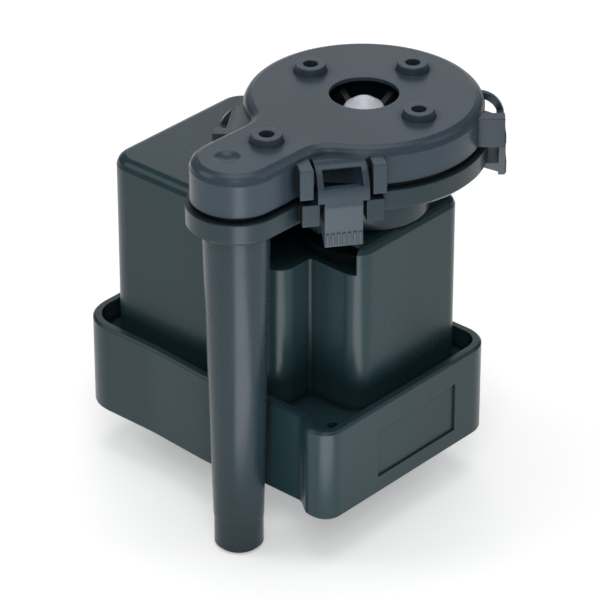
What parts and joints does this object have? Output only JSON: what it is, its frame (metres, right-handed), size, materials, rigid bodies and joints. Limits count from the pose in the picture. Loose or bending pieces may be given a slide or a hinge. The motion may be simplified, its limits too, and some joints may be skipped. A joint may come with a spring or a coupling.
{
  "type": "dryer drain pump",
  "caption": "Condensate drain pump with enclosed motor block, clip-on volute cover on spacer feet, white impeller hub and a long discharge pipe beside the motor.",
  "frame": {"origin": "where the pump's axis meets the underside of the base cap", "axes": "+Z along the pump's axis to the suction inlet, +X to the pump end of the motor, discharge pipe on the -Y side"},
  "size_m": [0.097, 0.0888, 0.112],
  "materials": {
    "housing_plastic": "moulded dark grey, fine grain",
    "head_plastic": "moulded dark grey, satin",
    "gasket_rubber": "soft black",
    "impeller_plastic": "moulded black",
    "cap_plastic": "moulded white",
    "shaft_steel": "ground",
    "spring_steel": "stamped",
    "magnet_ferrite": "sintered",
    "rotor_plastic": "moulded blue-grey",
    "clutch_plastic": "moulded natural",
    "washer_plastic": "smooth white",
    "bush_carbon": "sintered carbon",
    "carrier_plastic": "moulded grey",
    "core_steel": "stacked sheet",
    "bobbin_plastic": "moulded natural",
    "winding_copper": "enamelled",
    "tape": "yellow film",
    "terminal_plastic": "moulded natural",
    "terminal_brass": "tinned",
    "cutout_body": "moulded",
    "screw_steel": "zinc plated"
  },
  "bodies": {
    "pump": {"base_cap": "housing_plastic", "base_screws": "screw_steel", "motor_housing": "housing_plastic", "tube_seal": "gasket_rubber", "pump_body": "head_plastic", "cover_gasket": "gasket_rubber", "volute_cover": "head_plastic", "front_bearing": "bush_carbon", "front_bearing_mount": "gasket_rubber", "bearing_carrier": "carrier_plastic", "rear_bearing": "bush_carbon", "rear_bearing_cup": "gasket_rubber", "pole_arms": "core_steel", "stator_yoke": "core_steel", "bobbin_front": "bobbin_plastic", "bobbin_back": "bobbin_plastic", "winding_front": "winding_copper", "winding_back": "winding_copper", "winding_wrap_front": "tape", "winding_wrap_back": "tape", "coil_link": "winding_copper", "terminal_block": "terminal_plastic", "terminal_blades": "terminal_brass", "thermal_cutout": "cutout_body"},
    "rotor": {"rotor_shaft": "shaft_steel", "rotor_magnet": "magnet_ferrite", "rotor_overmould": "rotor_plastic", "thrust_washers": "washer_plastic", "drive_dog": "clutch_plastic", "clutch_damper": "gasket_rubber", "retaining_ring": "spring_steel"},
    "impeller": {"impeller": "impeller_plastic", "hub_cap": "cap_plastic"}
  },
  "joints": [
    {"name": "rotor_spin", "type": "hinge", "parent": "pump", "child": "rotor", "pos_m": [0, 0, 0.042], "axis": [0, 0, 1], "continuous": true},
    {"name": "impeller_play", "type": "hinge", "parent": "rotor", "child": "impeller", "pos_m": [0, 0, 0.0834], "axis": [0, 0, 1], "range_deg": [-253, 0]}
  ]
}
